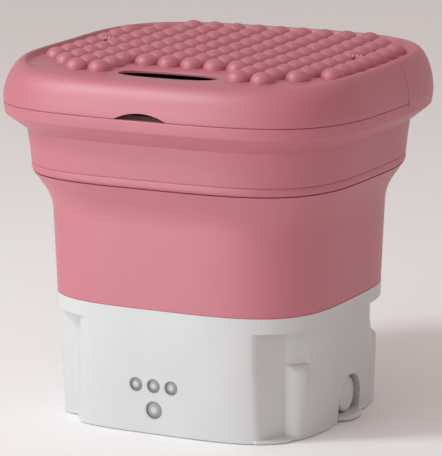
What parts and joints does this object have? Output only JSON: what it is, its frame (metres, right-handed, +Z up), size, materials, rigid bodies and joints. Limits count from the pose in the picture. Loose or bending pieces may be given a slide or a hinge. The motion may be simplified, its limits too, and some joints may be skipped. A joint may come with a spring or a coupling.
{
  "type": "portable washing machine",
  "caption": "Small portable washer with a tapered base, a folding rounded-square tub and a bumped lid whose front half lifts as a flap.",
  "frame": {"origin": "on the floor under the middle of the tub", "axes": "+X to the side with the drain, -Y to the front with the buttons and finger notch, +Z up"},
  "size_m": [0.2996, 0.2796, 0.2869],
  "materials": {
    "pink_plastic": "satin moulded",
    "soft_pink": "soft matte elastomer",
    "white_plastic": "satin moulded",
    "grey_plastic": "satin moulded",
    "black_plastic": "satin moulded",
    "black_rubber": "matte",
    "steel": "machined",
    "circuit_board": "solder mask"
  },
  "bodies": {
    "base": {"base_housing": "white_plastic", "base_bottom_plate": "white_plastic", "rubber_foot_left_front": "black_rubber", "rubber_foot_left_rear": "black_rubber", "rubber_foot_right_front": "black_rubber", "rubber_foot_right_rear": "black_rubber", "plate_screw_left_front": "steel", "plate_screw_left_rear": "steel", "plate_screw_right_front": "steel", "plate_screw_right_rear": "steel", "tub_floor": "white_plastic", "bearing_housing": "grey_plastic", "upper_bearing": "steel", "lower_bearing": "steel", "shaft_seal": "black_rubber", "motor_housing": "steel", "motor_bracket": "steel", "drive_belt": "black_rubber", "control_board": "circuit_board", "button_1_switch": "black_plastic", "button_2_switch": "black_plastic", "button_3_switch": "black_plastic", "start_button_switch": "black_plastic", "button_1_ring": "grey_plastic", "button_2_ring": "grey_plastic", "button_3_ring": "grey_plastic", "start_button_ring": "grey_plastic", "power_inlet": "black_plastic", "drain_outlet": "white_plastic", "drain_gasket": "black_rubber", "folding_wall": "soft_pink"},
    "pulsator": {"pulsator_disc": "white_plastic", "pulsator_shaft": "steel", "pulsator_screw": "grey_plastic", "driven_pulley": "grey_plastic"},
    "rotor": {"motor_armature": "steel", "motor_pulley": "grey_plastic"},
    "button_1": {"button_1_cap": "grey_plastic"},
    "button_2": {"button_2_cap": "grey_plastic"},
    "button_3": {"button_3_cap": "grey_plastic"},
    "start_button": {"start_button_cap": "grey_plastic"},
    "drain_plug": {"drain_cap": "white_plastic"},
    "upper_frame": {"rim_frame": "pink_plastic", "upper_collar": "pink_plastic", "bead_ring": "pink_plastic", "hinge_pin_left": "steel", "hinge_pin_right": "steel"},
    "front_flap": {"lid_flap": "pink_plastic"}
  },
  "joints": [
    {"name": "pulsator_spin", "type": "hinge", "parent": "base", "child": "pulsator", "pos_m": [0, 0, 0.088], "axis": [0, 0, 1], "continuous": true},
    {"name": "rotor_spin", "type": "hinge", "parent": "base", "child": "rotor", "pos_m": [-0.045, 0.045, 0.043], "axis": [0, 0, 1], "continuous": true},
    {"name": "button_1_press", "type": "slide", "parent": "base", "child": "button_1", "axis": [0, 1, 0], "range_m": [0, 0.001], "stiffness_N_per_m": 400},
    {"name": "button_2_press", "type": "slide", "parent": "base", "child": "button_2", "axis": [0, 1, 0], "range_m": [0, 0.001], "stiffness_N_per_m": 400},
    {"name": "button_3_press", "type": "slide", "parent": "base", "child": "button_3", "axis": [0, 1, 0], "range_m": [0, 0.001], "stiffness_N_per_m": 400},
    {"name": "start_button_press", "type": "slide", "parent": "base", "child": "start_button", "axis": [0, 1, 0], "range_m": [0, 0.001], "stiffness_N_per_m": 400},
    {"name": "drain_cap_pull", "type": "slide", "parent": "base", "child": "drain_plug", "axis": [1, 0, 0], "range_m": [0, 0.03]},
    {"name": "tub_fold", "type": "slide", "parent": "base", "child": "upper_frame", "axis": [0, 0, -1], "range_m": [0, 0.085], "deforming": ["folding_wall"]},
    {"name": "flap_hinge", "type": "hinge", "parent": "upper_frame", "child": "front_flap", "pos_m": [0, 0.0195, 0.2808], "axis": [-1, 0, 0], "range_deg": [0, 90]}
  ],
  "couplings": [
    {"joint": "rotor_spin", "follows": "pulsator_spin", "ratio": 5}
  ]
}
